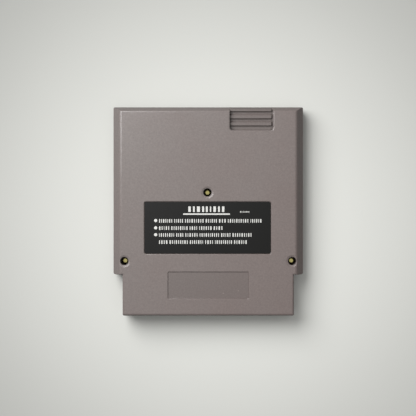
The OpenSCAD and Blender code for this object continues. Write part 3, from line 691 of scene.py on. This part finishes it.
def screw_thread(node, material):
    """A helical ridge around the smooth core of a screw, with tapering ends."""
    axis = centre(node)
    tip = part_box(node)[0].z
    turns = (THREAD_TO - THREAD_FROM) / THREAD_PITCH
    steps = round(turns * THREAD_STEPS)
    vertices, faces = [], []
    for i in range(steps + 1):
        share = i / steps
        angle = 2 * math.pi * turns * share
        growth = min(1.0, share * THREAD_START_GROWTH, (1 - share) * THREAD_END_GROWTH)
        crest = THREAD_ROOT + (THREAD_CREST - THREAD_ROOT) * growth
        z = tip + THREAD_FROM + (THREAD_TO - THREAD_FROM) * share
        rise = THREAD_HALF * max(growth, THREAD_THINNEST)
        for radius, height in ((THREAD_ROOT, z - rise), (crest, z), (THREAD_ROOT, z + rise)):
            vertices.append((axis.x + radius * math.cos(angle), axis.y + radius * math.sin(angle), height))
    for here in range(0, 3 * steps, 3):
        after = here + 3
        for k in range(3):
            n = (k + 1) % 3
            faces.append([after + k, after + n, here + n, here + k])
    faces.append([0, 1, 2])
    faces.append([3 * steps + 2, 3 * steps + 1, 3 * steps])
    mesh_object(node + "_thread", vertices, faces, material)


# Board traces


def trace(plates, points):
    """A flat conductor of even width along a line of points."""
    ways = [(end - start).normalized() for start, end in zip(points, points[1:])]
    left, right = [], []
    for point, before, after in zip(points, ways[:1] + ways, ways + ways[-1:]):
        middle = (before + after).normalized()
        side = Vector((-middle.y, middle.x))
        spread = TRACE_WIDTH / 2 / side.dot(Vector((-before.y, before.x)))
        left.append(point + side * spread)
        right.append(point - side * spread)
    plates.outline([tuple(point) for point in right + left[::-1]])


def board_traces(side, material, ring_material):
    """Conductors that lead inwards from one row of contacts and end in plated holes."""
    low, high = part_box("circuit_board")
    top = side == "rear"
    span = (high.z, high.z + TRACE_SKIN) if top else (low.z - TRACE_SKIN, low.z)
    lines, rings = Plates(*span), Plates(*span)
    row_low, row_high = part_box(side + "_contacts")
    start = row_high.y
    jog = TRACE_JOG if top else -TRACE_JOG
    count = round((row_high.x - row_low.x - CONTACT_WIDTH) / CONTACT_PITCH) + 1
    for i in range(count):
        x = row_low.x + CONTACT_WIDTH / 2 + i * CONTACT_PITCH
        if abs(x) > TRACE_REACH:
            continue
        bend = start + BEND_START + BEND_STEP * (i % TRACE_ROWS)
        hole = start + HOLE_START + HOLE_STEP * ((i + top) % TRACE_ROWS)
        corners = ((x, start), (x, bend), (x + jog, bend + TRACE_JOG), (x + jog, hole - HOLE_OUTER))
        trace(lines, [Vector(corner) for corner in corners])
        rings.ring(x + jog, hole, HOLE_INNER, HOLE_OUTER)
    lines.object(side + "_traces", material, "board_laminate")
    rings.object(side + "_plated_holes", ring_material, "gold_contact")


# Stage, light and camera


def studio_floor(material):
    bpy.ops.mesh.primitive_circle_add(vertices=FLOOR_SIDES, radius=FLOOR_RADIUS, fill_type="NGON")
    floor = bpy.context.object
    floor.name = "studio_floor"
    floor.data.materials.append(material)


def sky():
    """A weak sky, strongest overhead. The camera and gloss see something else in its place."""
    world = bpy.data.worlds.new("studio")
    bpy.context.scene.world = world
    w = Nodes(world)
    w.nodes.clear()
    place = w.nodes.new("ShaderNodeTexCoord").outputs["Generated"]
    height = w.add("ShaderNodeSeparateXYZ", place).outputs["Z"]
    light = w.math("POWER", w.math("MAXIMUM", height, 0.0), SKY_FALL)
    patch = w.remap(height, OVERHEAD_EDGE, 1.0, REFLECTED, OVERHEAD, curve="SMOOTHSTEP")

    shown = w.add("ShaderNodeBackground", light, SKY_LIGHT)
    for kind, strength in (("Is Glossy Ray", patch), ("Is Camera Ray", BACKDROP)):
        plain = w.add("ShaderNodeBackground", BACKDROP_COLOUR, strength)
        shown = w.add("ShaderNodeMixShader", w.rays(kind), shown.outputs[0], plain.outputs[0])
    w.add("ShaderNodeOutputWorld", shown.outputs[0])


def key_lamp():
    azimuth, elevation = math.radians(KEY_AZIMUTH), math.radians(KEY_ELEVATION)
    level = math.cos(elevation)
    towards = Vector((math.cos(azimuth) * level, math.sin(azimuth) * level, math.sin(elevation)))
    lamp = bpy.data.lights.new("key", "AREA")
    lamp.shape = "DISK"
    lamp.size = KEY_SIZE
    lamp.energy = KEY_POWER
    holder = bpy.data.objects.new("key", lamp)
    holder.location = towards * KEY_DISTANCE
    holder.rotation_euler = towards.to_track_quat("Z", "Y").to_euler()
    bpy.context.scene.collection.objects.link(holder)


def camera():
    lens = bpy.data.cameras.new("camera")
    lens.sensor_width = CAMERA_SENSOR
    lens.lens = CAMERA_LENS
    holder = bpy.data.objects.new("camera", lens)
    holder.location = CAMERA_PLACE
    bpy.context.scene.collection.objects.link(holder)
    bpy.context.scene.camera = holder


# The scene

finishes = {
    "shell_plastic": shell_plastic(),
    "label_film": label_film(),
    # The screws get painted shade where they are hemmed in by their bores
    "plated_screw": metal(
        "plated_screw", PLATING, polish=(0.20, 0.30), scale=1800, depth=0.004 * MM, shade_reach=CREASE_REACH
    ),
    "board_laminate": board_laminate(),
    "gold_contact": metal(
        "gold_contact", GOLD, polish=(0.22, 0.34), scale=500, depth=0.004 * MM, stretch=(7.0, 0.3, 1.0)
    ),
    "chip_resin": chip_resin(),
    "tinned_metal": metal("tinned_metal", TIN, polish=(0.28, 0.42), scale=1600, depth=0.004 * MM),
    "capacitor_sleeve": capacitor_sleeve(),
    "capacitor_dip": capacitor_dip(),
    "resistor_coat": resistor_coat(),
    "solder": metal("solder", SOLDER, polish=(0.16, 0.30), scale=1200, depth=0.01 * MM),
}
for part in frame["record"]["subparts"]:
    for slot in frame["nodes"][part["node"]].material_slots:
        slot.material = finishes[part["material_slot"]]

label_print(print_ink())
for screw in SCREWS:
    screw_thread(screw, finishes["plated_screw"])
for side in ("front", "rear"):
    board_traces(side, finishes["board_laminate"], finishes["gold_contact"])

studio_floor(floor_paper())
sky()
key_lamp()
camera()

bpy.context.scene.view_settings.view_transform = "Standard"
